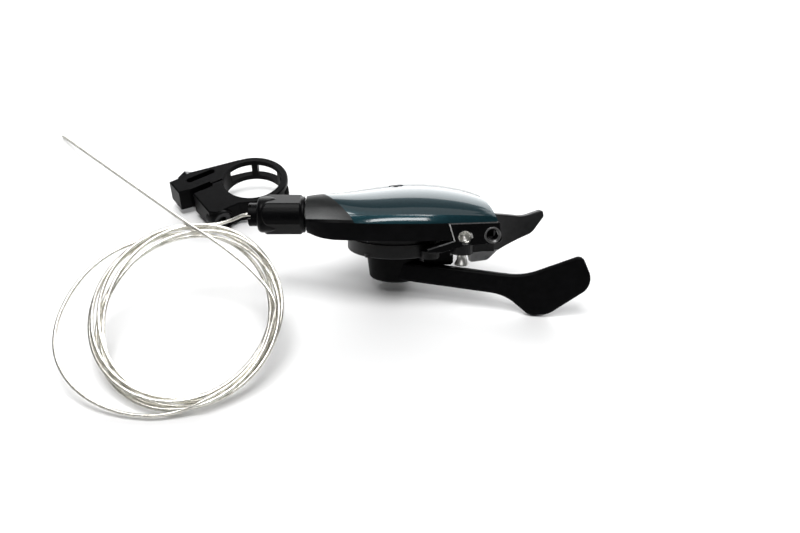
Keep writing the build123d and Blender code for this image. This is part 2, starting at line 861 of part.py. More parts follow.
with BuildPart() as lever_return_spring:
    spring_level = cup_bottom + cup_floor + pass_gap
    with BuildSketch(Plane.XY.offset(spring_level)):
        with BuildLine():
            spiral(neck_radius + small_gap + spring_strip / 2, lever_spring_turns, lever_spring_pitch)
        trace(line_width=spring_strip)
    extrude(amount=lever_spring_height)

with BuildPart() as spool_spring:
    with BuildSketch(Plane.XY.offset(spool_top + small_gap)):
        with BuildLine():
            spiral(axle_radius + spring_strip / 2, spool_spring_turns, spool_spring_pitch)
        trace(line_width=spring_strip)
    extrude(amount=spool_spring_height)

# Drive pawl, on the carrier, its nose in the ratchet
with BuildPart() as drive_pawl:
    toe_out, toe_angle = drive_pawl_toe
    with BuildSketch(Plane.XY.offset(pawl_bottom)):
        with Locations(drive_pivot):
            Circle(drive_pawl_boss)
        with Locations(polar(ratchet_tip_radius + toe_out, drive_pawl_nose_angle + toe_angle)):
            Circle(drive_pawl_toe_radius)
        make_hull()
        with BuildLine():
            nose_points = [
                polar(ratchet_tip_radius + out, drive_pawl_nose_angle + angle)
                for out, angle in drive_pawl_nose
            ]
            Polyline(*nose_points, close=True)
        make_face()
        with Locations(drive_pivot):
            Circle(drive_pin_radius + running_gap, mode=Mode.SUBTRACT)
    extrude(amount=pawl_thickness)

# Hold pawl, on the housing floor: nose just off the tooth tips, tail at the release pin
with BuildPart() as hold_pawl:
    tail_edge = release_pin[1] - release_pin_radius - hold_tail_gap
    tail_start = release_pin[0] + hold_tail_reach[0]
    tail_end = release_pin[0] + hold_tail_reach[1]
    elbow = (hold_pawl_pivot[0] + hold_pawl_elbow[0], hold_pawl_pivot[1] + hold_pawl_elbow[1])
    nose_out, nose_turn = hold_nose_back
    with BuildSketch(Plane.XY.offset(pawl_bottom)):
        with Locations(hold_pawl_pivot):
            Circle(hold_pawl_boss)
        with Locations(elbow):
            Circle(hold_pawl_elbow_radius)
        make_hull()
        with BuildLine():
            Polyline(
                *hold_pawl_front,
                polar(ratchet_tip_radius + small_gap, hold_nose_angle),
                polar(ratchet_tip_radius + nose_out, hold_nose_angle + nose_turn),
                (hold_tail_root[0], tail_edge + hold_tail_root[1]),
                (tail_start, tail_edge),
                (tail_end, tail_edge),
                (tail_end, tail_edge - hold_tail_depth),
                hold_pawl_belly,
                close=True,
            )
        make_face()
        with Locations(hold_pawl_pivot):
            Circle(hold_pin_radius + running_gap, mode=Mode.SUBTRACT)
    extrude(amount=pawl_thickness)

with BuildPart() as hold_pawl_pin:
    with BuildSketch(Plane.XY.offset(housing_bottom)):
        with Locations(hold_pawl_pivot):
            Circle(hold_pin_radius)
    extrude(amount=pawl_top + close_gap - housing_bottom)

# Release lever: a dished blade on a hub under the housing
release_top = housing_bottom - pass_gap
blade_plane = Plane(
    origin=(release_pivot[0], release_pivot[1], 0),
    x_dir=(cos(radians(release_angle)), sin(radians(release_angle)), 0),
    z_dir=(sin(radians(release_angle)), -cos(radians(release_angle)), 0),
)
blade_reach = max(corner[0] for corner in blade_outline)

with BuildPart() as release_side:
    with BuildSketch(blade_plane):
        with BuildLine():
            rounded_outline(
                (
                    (0.0, release_hub_bottom, 0.0),
                    (0.0, release_top, 0.0),
                    (blade_start - pass_gap, release_top, 0.0),
                    *blade_outline,
                    (2 * release_hub_radius, release_hub_bottom, 0.0),
                )
            )
        make_face()
    extrude(amount=blade_reach, both=True)

with BuildPart() as release_lever:
    with BuildSketch(Plane(origin=(*release_pivot, 0), x_dir=blade_plane.x_dir, z_dir=(0, 0, 1))):
        with BuildLine():
            half = release_thickness / 2
            blade_middle = (blade_start + blade_reach) / 2
            Line((0, -half), (blade_start, -half))
            ThreePointArc(
                (blade_start, -half), (blade_middle, -half + release_dish), (blade_reach, -half)
            )
            Line((blade_reach, -half), (blade_reach, half))
            ThreePointArc((blade_reach, half), (blade_middle, half + release_dish), (blade_start, half))
            Polyline((blade_start, half), (0, release_hub_radius), (0, -half))
        make_face()
    extrude(amount=far)
    add(release_side.part, mode=Mode.INTERSECT)
    blade_mouth = release_pivot[0] + blade_start
    blade_edges = release_lever.edges().filter_by(GeomType.LINE, reverse=True)
    long_edges = blade_edges.filter_by(lambda e: e.center().X > blade_mouth and e.length > release_thickness)
    fillet(long_edges, release_edge)
    with BuildSketch(Plane.XY.offset(release_hub_bottom)):
        with Locations(release_pivot):
            Circle(release_hub_radius)
    extrude(amount=release_top - release_hub_bottom)
    with BuildSketch(Plane.XY.offset(release_top)):
        with Locations(release_pivot):
            Circle(release_bush_radius + release_pin_wall / 2)
        with Locations(release_pin):
            Circle(release_pin_radius + release_pin_wall)
        make_hull()
    extrude(amount=-release_pin_seat)
    with BuildSketch(Plane.XY.offset(release_hub_bottom)):
        with Locations(release_pivot):
            Circle(release_bush_radius)
        with Locations(release_pin):
            Circle(release_pin_radius)
    extrude(amount=far, mode=Mode.SUBTRACT)

with BuildPart() as release_bush:
    with BuildSketch(Plane.XY.offset(release_hub_bottom)):
        with Locations(release_pivot):
            Circle(release_bush_radius)
            Circle(release_screw_radius + running_gap, mode=Mode.SUBTRACT)
    extrude(amount=release_top - release_hub_bottom)

with BuildPart() as release_stud:
    with BuildSketch(Plane.XY.offset(release_top - release_pin_seat)):
        with Locations(release_pin):
            Circle(release_pin_radius)
    extrude(amount=pawl_top - release_top + release_pin_seat)

with BuildPart() as release_pivot_screw:
    head_top = release_hub_bottom - running_gap
    with BuildSketch(Plane.XY.offset(head_top)):
        with Locations(release_pivot):
            Circle(release_screw_radius)
    extrude(amount=housing_bottom + wall_height - release_screw_end - head_top)
    with BuildSketch(Plane.XY.offset(head_top)):
        with Locations(release_pivot):
            Circle(release_head_radius)
    extrude(amount=-release_head_height)
    fillet(release_pivot_screw.edges().group_by(Axis.Z)[0], release_head_round)
    with BuildSketch(Plane.XY.offset(head_top - release_head_height)):
        with Locations(release_pivot):
            RegularPolygon(release_socket_radius, 6)
    extrude(amount=release_socket_radius, mode=Mode.SUBTRACT)

with BuildPart() as release_spring:
    spring_circle = release_boss_radius + small_gap + release_spring_wire
    spring_z = housing_floor + release_spring_wire + close_gap
    with BuildLine(Plane.XY.offset(spring_z)):
        coil = CenterArc(release_pivot, spring_circle, release_spring_start, release_spring_sweep)
        Line(coil @ 1, (coil @ 1) + (coil % 1) * release_spring_leg)
    with BuildSketch(Plane(origin=coil @ 0, z_dir=coil % 0)):
        Circle(release_spring_wire)
    sweep(transition=Transition.ROUND)

# Cable adjuster: a faceted barrel that turns on the nose, and a stem that slides
barrel_start = nose_end - barrel_gap
barrel_end = barrel_start - barrel_length
stem_shoulder = barrel_end + stem_neck
stem_tip = barrel_end - stem_show
with BuildPart() as adjuster_barrel:
    with BuildSketch(along_x(barrel_start, adjuster_y, cable_level)):
        Circle(barrel_radius)
    extrude(amount=-barrel_length)
    fillet(adjuster_barrel.edges().group_by(Axis.X)[0], barrel_round)
    fillet(adjuster_barrel.edges().group_by(Axis.X)[-1], barrel_rear_round)
    flat_length = barrel_length - barrel_land - barrel_round - barrel_flat_margin
    flat_middle = barrel_start - barrel_land - flat_length / 2
    for turn in range(barrel_flats):
        angle = 360.0 / barrel_flats * turn + 90.0
        tangent = Vector(0, *polar(1.0, angle + 90.0))
        base = Vector(flat_middle, adjuster_y, cable_level)
        with BuildSketch(Plane(origin=base, x_dir=(1, 0, 0), z_dir=tangent)):
            with Locations((0, -(barrel_radius - barrel_flat_depth))):
                RectangleRounded(
                    flat_length,
                    barrel_flat_width,
                    barrel_flat_corner,
                    align=(Align.CENTER, Align.MAX),
                )
        extrude(amount=barrel_radius, both=True, mode=Mode.SUBTRACT)
    with BuildSketch(along_x(barrel_start, adjuster_y, cable_level)):
        Circle(spigot_radius + running_gap)
    extrude(amount=-(spigot_length - barrel_gap + small_gap), mode=Mode.SUBTRACT)
    with BuildSketch(along_x(barrel_start, adjuster_y, cable_level)):
        Circle(stem_thread_radius + running_gap)
    extrude(amount=-barrel_length, mode=Mode.SUBTRACT)
    with BuildSketch(along_x(barrel_end, adjuster_y, cable_level)):
        Circle(stem_radius + running_gap)
    extrude(amount=stem_neck + small_gap, mode=Mode.SUBTRACT)

with BuildPart() as adjuster_stem:
    with BuildSketch(along_x(stem_tip, adjuster_y, cable_level)):
        Circle(stem_radius)
    extrude(amount=stem_show + stem_neck)
    chamfer(adjuster_stem.edges().group_by(Axis.X)[0], stem_edge)
    with BuildSketch(along_x(stem_shoulder, adjuster_y, cable_level)):
        Circle(stem_thread_radius)
    extrude(amount=stem_thread_length)
    with BuildSketch(along_x(stem_tip, adjuster_y, cable_level)):
        Circle(ferrule_radius)
    extrude(amount=ferrule_depth, mode=Mode.SUBTRACT)
    with BuildSketch(along_x(stem_tip, adjuster_y, cable_level)):
        with PolarLocations(stem_radius, stem_notches):
            Rectangle(2 * (stem_radius - ferrule_radius + small_gap), stem_notch_width)
    extrude(amount=stem_notch_depth, mode=Mode.SUBTRACT)
    with BuildSketch(along_x(stem_tip, adjuster_y, cable_level)):
        Circle(cable_bore)
    extrude(amount=far, mode=Mode.SUBTRACT)

with BuildPart() as cable_inner:
    with BuildSketch(along_x(-small_gap, adjuster_y, cable_level)):
        Circle(cable_radius)
    extrude(amount=stem_tip + small_gap)

# Clamp, drawn with its ears along local x
clamp_plane = Plane(
    origin=(*clamp_centre, 0),
    x_dir=(
        cos(radians(clamp_turn)),
        sin(radians(clamp_turn)) * cos(radians(clamp_lean)),
        sin(radians(clamp_turn)) * sin(radians(clamp_lean)),
    ),
    z_dir=(0, -sin(radians(clamp_lean)), cos(radians(clamp_lean))),
)
clamp_outer = clamp_bore_radius + clamp_wall
bolt_axis_plane = Plane(
    origin=clamp_plane.from_local_coords((clamp_bolt_reach, 0, clamp_width / 2)),
    x_dir=clamp_plane.z_dir,
    z_dir=clamp_plane.y_dir,
)

with BuildPart() as clamp_band:
    with BuildSketch(clamp_plane):
        Circle(clamp_outer)
        with BuildLine():
            Polyline(
                (-clamp_blend, -clamp_outer),
                (clamp_bolt_reach - clamp_bevel, clamp_rear_face),
                (clamp_rear_end - clamp_pad, clamp_rear_face + clamp_bevel),
                (clamp_rear_end, clamp_rear_face + clamp_bevel),
                (clamp_rear_end, clamp_gap_middle - clamp_gap / 2 - clamp_bevel),
                (clamp_front_end, clamp_gap_middle - clamp_gap / 2),
                (clamp_front_end, clamp_gap_middle + clamp_gap / 2),
                (clamp_front_end, clamp_front_face - clamp_blend),
                (clamp_front_end - clamp_blend, clamp_front_face),
                (clamp_bore_radius, clamp_front_face),
                (clamp_blend, clamp_outer),
                close=True,
            )
        make_face()
    extrude(amount=clamp_width)
    chamfer(clamp_band.edges().filter_by(clamp_plane), clamp_edge)
    # round boss for the pinch bolt head
    with BuildSketch(bolt_axis_plane.offset(clamp_front_face - clamp_boss_sink)):
        Circle(clamp_boss_radius)
    extrude(amount=clamp_boss_sink + clamp_boss_show)
    with BuildSketch(clamp_plane):
        Circle(clamp_bore_radius)
        # gap between the ears, with a slit into the bore
        with Locations((clamp_gap_start, clamp_gap_middle)):
            Rectangle(far, clamp_gap, align=(Align.MIN, Align.CENTER))
        with Locations((clamp_gap_start + clamp_slit, clamp_gap_middle)):
            Rectangle(clamp_bore_radius / 2, clamp_slit, align=(Align.MAX, Align.CENTER))
        # pocket in the rear ear
        with Locations((clamp_pocket[0], clamp_rear_face + clamp_pocket[1])):
            SlotOverall(*clamp_pocket_size)
    extrude(amount=clamp_width, mode=Mode.SUBTRACT)
    # windows in the ring
    for window in clamp_window_angles:
        with BuildSketch(clamp_plane.offset(clamp_rim)):
            with BuildLine():
                outer_arc = CenterArc(
                    (0, 0), clamp_outer + 1, window - clamp_window_span / 2, clamp_window_span
                )
                inner_arc = CenterArc(
                    (0, 0), clamp_bore_radius - 1, window - clamp_window_span / 2, clamp_window_span
                )
                Line(outer_arc @ 0, inner_arc @ 0)
                Line(outer_arc @ 1, inner_arc @ 1)
            make_face()
        extrude(amount=clamp_width - 2 * clamp_rim, mode=Mode.SUBTRACT)
    # bolt hole through both ears, with a recess for the head
    with BuildSketch(bolt_axis_plane):
        Circle(clamp_bolt_radius + running_gap)
    extrude(amount=far, both=True, mode=Mode.SUBTRACT)
    with BuildSketch(bolt_axis_plane.offset(clamp_front_face - clamp_head_sink)):
        Circle(clamp_bolt_head_radius + small_gap)
    extrude(amount=clamp_outer, mode=Mode.SUBTRACT)
    # foot that props the rear ear up from the table
    clamp_rest = clamp_band.part.bounding_box().min.Z
    with BuildSketch(clamp_plane):
        with Locations(clamp_foot):
            Rectangle(*clamp_foot_size)
    extrude(amount=-clamp_outer)
    split(bisect_by=Plane.XY.offset(clamp_rest), keep=Keep.TOP)

with BuildPart() as clamp_pinch_bolt:
    with BuildSketch(bolt_axis_plane.offset(clamp_front_face - clamp_head_sink)):
        Circle(clamp_bolt_head_radius)
    extrude(amount=clamp_head_sink + clamp_head_show)
    with BuildSketch(bolt_axis_plane.offset(clamp_front_face - clamp_head_sink)):
        Circle(clamp_bolt_radius)
    extrude(amount=clamp_rear_face - clamp_front_face + clamp_head_sink - clamp_nut_height - small_gap)
    with BuildSketch(bolt_axis_plane.offset(clamp_front_face + clamp_head_show)):
        RegularPolygon(clamp_socket_radius, 6)
    extrude(amount=-clamp_socket_radius, mode=Mode.SUBTRACT)

with BuildPart() as clamp_pinch_nut:
    with BuildSketch(bolt_axis_plane.offset(clamp_rear_face)):
        RegularPolygon(clamp_nut_radius, 6)
        Circle(clamp_bolt_radius + running_gap, mode=Mode.SUBTRACT)
    extrude(amount=-clamp_nut_height)

# Lay the shifter down and put the origin under the middle of the object
shifter_pieces = {
    "housing": housing,
    "cover": cover,
    "cover_screw": cover_screw,
    "base_cup": base_cup,
    "base_screws": base_screws,
    "mount_bracket": mount_bracket,
    "main_axle": main_axle,
    "axle_washer": axle_washer,
    "thumb_lever": thumb_lever,
    "lever_bush": lever_bush,
    "lever_return_spring": lever_return_spring,
    "pawl_carrier": pawl_carrier,
    "drive_pawl_pin": drive_pawl_pin,
    "drive_pawl": drive_pawl,
    "hold_pawl": hold_pawl,
    "hold_pawl_pin": hold_pawl_pin,
    "ratchet_wheel": ratchet_wheel,
    "cable_spool": cable_spool,
    "spool_bush": spool_bush,
    "spool_spring": spool_spring,
    "cable_head": cable_head,
    "cable_wrap": cable_wrap,
    "cable_inner": cable_inner,
    "release_lever": release_lever,
    "release_bush": release_bush,
    "release_stud": release_stud,
    "release_pivot_screw": release_pivot_screw,
    "release_spring": release_spring,
    "adjuster_barrel": adjuster_barrel,
    "adjuster_stem": adjuster_stem,
}
clamp_pieces = {
    "clamp_band": clamp_band,
    "clamp_pinch_bolt": clamp_pinch_bolt,
    "clamp_pinch_nut": clamp_pinch_nut,
}

tipping = Location((0, 0, 0), (-lay_angle, 0, 0))
lift = -thumb_lever.part.moved(tipping).bounding_box().min.Z
lay_down = Location((0, 0, lift), (-lay_angle, 0, 0))
for piece in shifter_pieces.values():
    piece.part.move(lay_down)
set_down = Location((0, 0, -clamp_rest))
for piece in clamp_pieces.values():
    piece.part.move(set_down)

# Cable lying on the table.  Its coil leans from the table up to the adjuster.
coil_centre = (-65.8, -36.0, 14.8)
coil_tilt = 22.0
coil_outer = (30.8, 35.0)
coil_inner = (26.0, 29.5)
coil_thickness = 3.4
coil_plane = Plane(
    origin=coil_centre, x_dir=(1, 0, 0), z_dir=(0, -sin(radians(coil_tilt)), cos(radians(coil_tilt)))
)

with BuildPart() as cable_coil:
    with BuildSketch(coil_plane):
        Ellipse(*coil_outer)
        Ellipse(*coil_inner, mode=Mode.SUBTRACT)
    extrude(amount=coil_thickness / 2, both=True)

cable_exit = (lay_down * Location((stem_tip, adjuster_y, cable_level))).position
lead_route = [
    tuple(cable_exit),
    (-54.7, cable_exit.Y, cable_exit.Z + 0.1),
    (-61.6, -1.9, 28.3),
    (-70.0, -4.4, 27.6),
    (-77.0, -8.2, 26.0),
]
loop_route = [
    (-82.0, -9.6, 25.4),
    (-91.0, -14.4, 23.4),
    (-97.8, -21.8, 20.5),
    (-102.0, -30.6, 17.0),
    (-104.4, -40.2, 13.1),
    (-103.4, -50.0, 9.2),
    (-98.4, -58.6, 5.7),
    (-90.4, -65.0, 3.1),
    (-80.4, -68.6, 1.6),
    (-70.6, -69.0, 1.5),
    (-62.6, -67.4, 2.2),
]
tail_route = [
    (-37.4, -33.0, 16.4),
    (-39.6, -29.4, 18.6),
    (-43.2, -26.0, 21.4),
    (-47.6, -22.8, 24.2),
    (-52.4, -19.6, 26.6),
    (-57.6, -16.2, 28.8),
    (-62.8, -13.0, 30.2),
    (-67.9, -8.4, 30.6),
    (-144.6, 111.7, 0.7),
]


def corner_radii(route):
    # as large as the two runs at each corner allow
    radii = []
    for before, corner, after in zip(route, route[1:], route[2:]):
        run_in = Vector(*corner) - Vector(*before)
        run_out = Vector(*after) - Vector(*corner)
        half_turn = radians(run_in.get_angle(run_out)) / 2
        radii.append(cable_bend_share * min(run_in.length, run_out.length) / tan(half_turn))
    return radii


def cable_tube(route):
    radii = corner_radii(route)
    with BuildPart() as tube:
        with BuildLine() as path:
            FilletPolyline(*route, radius=radii)
        line = path.wires()[0]
        with BuildSketch(Plane(origin=line @ 0, z_dir=line % 0)):
            Circle(cable_radius)
        sweep(path=line)
    return tube


cable_lead = cable_tube(lead_route)
cable_loop = cable_tube(loop_route)
cable_tail = cable_tube(tail_route)
cord_pieces = {
    "cable_lead": cable_lead,
    "cable_loop": cable_loop,
    "cable_coil": cable_coil,
    "cable_tail": cable_tail,
}

body_box = Compound([p.part for p in (*shifter_pieces.values(), *clamp_pieces.values())]).bounding_box()
to_origin = Location((-body_box.center().X, -body_box.center().Y, -body_box.min.Z))
for name, piece in {**shifter_pieces, **clamp_pieces, **cord_pieces}.items():
    piece.part.move(to_origin)
    piece.part.label = name
    export_step(piece.part, f"parts/{name}.step")
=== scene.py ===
import bpy, bmesh, json, math
from mathutils import Matrix, Vector


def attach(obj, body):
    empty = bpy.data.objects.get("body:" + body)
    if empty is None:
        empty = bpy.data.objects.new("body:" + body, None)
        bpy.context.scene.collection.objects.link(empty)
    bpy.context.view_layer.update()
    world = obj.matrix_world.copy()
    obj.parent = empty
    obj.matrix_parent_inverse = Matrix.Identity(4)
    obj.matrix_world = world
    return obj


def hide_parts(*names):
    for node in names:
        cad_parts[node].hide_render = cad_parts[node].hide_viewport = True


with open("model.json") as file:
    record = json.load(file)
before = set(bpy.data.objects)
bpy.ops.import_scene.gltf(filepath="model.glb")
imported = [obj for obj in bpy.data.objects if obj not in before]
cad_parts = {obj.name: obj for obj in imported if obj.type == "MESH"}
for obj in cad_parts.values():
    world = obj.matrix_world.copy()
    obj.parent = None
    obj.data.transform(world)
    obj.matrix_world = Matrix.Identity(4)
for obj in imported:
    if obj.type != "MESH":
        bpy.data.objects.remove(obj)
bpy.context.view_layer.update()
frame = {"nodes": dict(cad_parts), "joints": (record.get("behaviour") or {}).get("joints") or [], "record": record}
scene = bpy.context.scene
mm = 0.001
print("frame loaded:", len(frame["nodes"]), "nodes")


def jointOf(name):
    return next(joint for joint in frame["joints"] if joint["name"] == name)


def mountOf(name):
    return next(mount for mount in frame["record"]["mounts"] if mount["name"] == name)


# the shifter's own axes: it stands tipped back on the table
leverPivot = Vector(jointOf("thumb_lever_pivot")["pos_m"])
shifterUp = Vector(jointOf("thumb_lever_pivot")["axis"])
shifterRight = Vector((1, 0, 0))
shifterBack = shifterUp.cross(shifterRight)


def levelOf(height):
    # where a height over the lever's pivot lies along the shifter's up axis
    return leverPivot.dot(shifterUp) + height


def addObject(name, data):
    thing = bpy.data.objects.new(name, data)
    scene.collection.objects.link(thing)
    return thing


# nodes of materials and of the grown pieces
def feed(tree, socket, value):
    if isinstance(value, bpy.types.NodeSocket):
        tree.links.new(value, socket)
    else:
        socket.default_value = value


def setSockets(tree, node, **sockets):
    for label, value in sockets.items():
        feed(tree, node.inputs[label.replace("_", " ")], value)
    return node


def addNode(tree, kind, **sockets):
    return setSockets(tree, tree.nodes.new(kind), **sockets)


def mathNode(tree, operation, *values):
    node = tree.nodes.new("ShaderNodeMath")
    node.operation = operation
    for socket, value in zip(node.inputs, values):
        feed(tree, socket, value)
    return node.outputs[0]


def remap(tree, value, source=(0, 1), target=(0, 1)):
    node = addNode(tree, "ShaderNodeMapRange", Value=value)
    setSockets(tree, node, From_Min=source[0], From_Max=source[1])
    setSockets(tree, node, To_Min=target[0], To_Max=target[1])
    return node.outputs["Result"]


def newMaterial(name):
    material = bpy.data.materials.new(name)
    material.use_nodes = True
    tree = material.node_tree
    return material, tree, tree.nodes["Principled BSDF"]


# camera: looks along +Y and down, framed as an 800 x 533 picture
cameraSetup = {
    "fromPivot": Vector((1.38, -303.29, 208.44)) * mm,
    "downAngle": 34,
    "lens": 48,
    "sensor": 36,
    "nearest": 10 * mm,
}


def placeCamera(setup):
    data = bpy.data.cameras.new("camera")
    data.lens = setup["lens"]
    data.sensor_width = setup["sensor"]
    data.clip_start = setup["nearest"]
    camera = addObject("camera", data)
    camera.location = leverPivot + setup["fromPivot"]
    camera.rotation_euler = (math.radians(90 - setup["downAngle"]), 0, 0)
    scene.camera = camera


placeCamera(cameraSetup)
print("camera placed")


# floor and light: panels behind, overhead and to the right, and a narrow strip above the camera
studio = {
    "floorHalf": 3.0,
    "floorTone": (0.82, 0.82, 0.82, 1),
    "floorRoughness": 0.7,
    "floorSpecular": 0.1,
    "worldTone": (0.96, 0.98, 1, 1),
    "worldFade": (0.3, 1),  # across the studio, from overhead to the back
    "worldStrength": (0.06, 0.9),
    # place on the table in metres, size along and across, power in watts; all face the table's middle
    "lights": {
        "backPanel": ((0.2, 0.72, 0.33), (1.3, 0.63), 9.6),
        "topPanel": ((0, 0.24, 0.9), (0.8, 0.3), 0.7),
        "overheadPanel": ((-0.05, -0.15, 0.9), (0.6, 0.39), 7),
        "frontStrip": ((0, -0.4, 0.6), (0.25, 0.07), 0.8),
        "sidePanel": ((0.6, 0.45, 0.6), (0.45, 0.45), 1.2),
    },
}


def lightWorld(setup):
    world = bpy.data.worlds.new("studio")
    world.use_nodes = True
    tree = world.node_tree
    direction = addNode(tree, "ShaderNodeTexCoord").outputs["Generated"]
    backward = addNode(tree, "ShaderNodeSeparateXYZ", Vector=direction).outputs["Y"]
    strength = remap(tree, backward, setup["worldFade"], setup["worldStrength"])
    setSockets(tree, tree.nodes["Background"], Color=setup["worldTone"], Strength=strength)
    scene.world = world


def hangLights(lights):
    for name, (place, size, power) in lights.items():
        data = bpy.data.lights.new(name, "AREA")
        data.shape = "RECTANGLE"
        data.size, data.size_y = size
        data.energy = power
        light = addObject(name, data)
        light.location = place
        light.rotation_euler = (-Vector(place)).to_track_quat("-Z", "Y").to_euler()


def layFloor(setup):
    mesh = bpy.data.meshes.new("floor")
    half = setup["floorHalf"]
    corners = [(-half, -half, 0), (half, -half, 0), (half, half, 0), (-half, half, 0)]
    mesh.from_pydata(corners, [], [(0, 1, 2, 3)])
    material, tree, shader = newMaterial("paleFloor")
    setSockets(
        tree,
        shader,
        Base_Color=setup["floorTone"],
        Roughness=setup["floorRoughness"],
        Specular_IOR_Level=setup["floorSpecular"],
    )
    mesh.materials.append(material)
    floor = addObject("floor", mesh)


lightWorld(studio)
hangLights(studio["lights"])
layFloor(studio)
scene.view_settings.view_transform = "Standard"
print("studio lit")


# gear cable: lead, one loose turn, the coil's turns and a straight tail
cable = {
    "diameter": 1.2 * mm,
    # the coil, in mm and degrees
    "coilCentre": (-65.1, -36.0, 14.8),
    "coilTilt": 22,
    "coilHalf": (28.4, 32.2),
    "turns": 6.2,
    "startAngle": 288,
    "pointsPerTurn": 16,
    "bundle": (2.1, 1.4),  # its turns wind round each other this far out and up
    "startPhase": 80,
    "twistPerTurn": 1 + 1 / 7,
    "fan": 0.25,  # share by which the bundle is wider at the fan angle
    "fanAngle": 120,
    "wander": 0.3,  # so that no two turns lie alike
    "wanderRate": 2.37,
    "wanderStart": 1.1,
    # the strands
    "wires": 8,
    "wireLay": 9 * mm,
    "valley": 0.84,  # share of the radius that is left between two wires
    "ringStep": 0.5 * mm,
    "splineSteps": 6,
    # the rest of the route as it lies on the table, in mm from the pivot's foot
    "lead": [
        (-50.4, -1.2, 29.5),
        (-54.0, -1.6, 27.7),
        (-60.6, -2.8, 26.2),
        (-70.0, -4.4, 27.6),
        (-77.0, -8.2, 26.0),
    ],
    "loop": [
        (-82.0, -9.6, 25.4),
        (-91.6, -13.6, 23.4),
        (-98.8, -20.6, 20.5),
        (-103.2, -29.4, 17.0),
        (-105.4, -39.0, 13.1),
        (-104.2, -48.9, 9.2),
        (-98.8, -57.6, 5.7),
        (-90.4, -64.2, 3.1),
        (-80.2, -68.0, 1.6),
        (-70.6, -69.0, 1.5),
        (-62.6, -67.4, 2.2),
    ],
    "tail": [
        (-37.4, -33.0, 16.4),
        (-39.6, -29.4, 18.6),
        (-43.2, -26.0, 21.4),
        (-47.6, -22.8, 24.2),
        (-52.4, -19.6, 26.6),
        (-57.6, -16.2, 28.8),
        (-62.8, -13.0, 30.2),
        (-67.9, -8.4, 30.6),
        (-144.6, 111.7, 0.7),
    ],
}


def coilPoints(setup):
    tilt = math.radians(setup["coilTilt"])
    across = Vector((1, 0, 0))
    lengthways = Vector((0, math.cos(tilt), math.sin(tilt)))
    upright = across.cross(lengthways)
    centre = Vector(setup["coilCentre"])
    halfAcross, halfLength = setup["coilHalf"]
    bundleWide, bundleHigh = setup["bundle"]
    points = []
    for index in range(int(setup["turns"] * setup["pointsPerTurn"]) + 1):
        turn = index / setup["pointsPerTurn"]
        angle = math.radians(setup["startAngle"]) + turn * math.tau
        phase = math.radians(setup["startPhase"]) + turn * setup["twistPerTurn"] * math.tau
        spread = 1 + setup["fan"] * math.cos(angle - math.radians(setup["fanAngle"]))
        wander = setup["wander"] * math.sin(setup["wanderRate"] * angle + setup["wanderStart"])
        outward = bundleWide * spread * math.cos(phase) + wander
        rise = bundleHigh * math.sin(phase)
        place = across * (halfAcross + outward) * math.cos(angle)
        place += lengthways * (halfLength + outward) * math.sin(angle)
        points.append(centre + place + upright * rise)
    return points


def cableRoute(setup):
    exitPlace = Vector(mountOf("cable_casing_socket")["pos_m"])
    pivotFoot = Vector((leverPivot.x, leverPivot.y, 0))
    laid = [*setup["lead"], *setup["loop"], *coilPoints(setup), *setup["tail"]]
    return [exitPlace] + [Vector(point) * mm + pivotFoot for point in laid]


def routeCurve(name, points, steps):
    data = bpy.data.curves.new(name, "CURVE")
    data.dimensions = "3D"
    data.resolution_u = steps
    spline = data.splines.new("NURBS")
    spline.points.add(len(points) - 1)
    for target, point in zip(spline.points, points):
        target.co = (*point, 1)
    spline.order_u = 3
    spline.use_endpoint_u = True
    return addObject(name, data)


def newTree(name, inputs):
    tree = bpy.data.node_groups.new(name, "GeometryNodeTree")
    for label, kind in inputs.items():
        tree.interface.new_socket(label, in_out="INPUT", socket_type="NodeSocket" + kind)
    tree.interface.new_socket("Geometry", in_out="OUTPUT", socket_type="NodeSocketGeometry")
    return tree


def sweep(tree, path, profile, finish):
    # ends a tree with a capped tube in its finish
    tube = addNode(tree, "GeometryNodeCurveToMesh", Curve=path, Profile_Curve=profile, Fill_Caps=True)
    whole = addNode(tree, "GeometryNodeRealizeInstances", Geometry=tube.outputs["Mesh"])
    done = addNode(tree, "GeometryNodeSetMaterial", Geometry=whole.outputs["Geometry"], Material=finish)
    addNode(tree, "NodeGroupOutput", Geometry=done.outputs["Geometry"])


def grow(name, tree, values):
    # runs the tree on an empty object and keeps the result as a plain mesh
    piece = addObject(name, bpy.data.meshes.new(name))
    modifier = piece.modifiers.new("grow", "NODES")
    modifier.node_group = tree
    for item in tree.interface.items_tree:
        if item.in_out == "INPUT":
            modifier[item.identifier] = values[item.name]
    bpy.context.view_layer.update()
    made = piece.evaluated_get(bpy.context.evaluated_depsgraph_get())
    mesh = bpy.data.meshes.new_from_object(made)
    piece.modifiers.clear()
    piece.data = mesh
    return piece


def strandedTree():
    tree = newTree(
        "strandedCable",
        {
            "Route": "Object",
            "Radius": "Float",
            "Valley": "Float",
            "Wires": "Int",
            "Lay": "Float",
            "Step": "Float",
            "Finish": "Material",
        },
    )
    given = addNode(tree, "NodeGroupInput").outputs
    route = addNode(tree, "GeometryNodeObjectInfo", Object=given["Route"])
    rings = addNode(tree, "GeometryNodeResampleCurve", Curve=route.outputs["Geometry"])
    rings.mode = "LENGTH"
    setSockets(tree, rings, Length=given["Step"])
    travelled = addNode(tree, "GeometryNodeSplineParameter").outputs["Length"]
    twist = mathNode(tree, "MULTIPLY", mathNode(tree, "DIVIDE", travelled, given["Lay"]), math.tau)
    twisted = addNode(tree, "GeometryNodeSetCurveTilt", Curve=rings.outputs["Curve"], Tilt=twist)
    profile = addNode(
        tree,
        "GeometryNodeCurveStar",
        Points=given["Wires"],
        Inner_Radius=mathNode(tree, "MULTIPLY", given["Radius"], given["Valley"]),
        Outer_Radius=given["Radius"],
    )
    sweep(tree, twisted.outputs["Curve"], profile.outputs["Curve"], given["Finish"])
    return tree


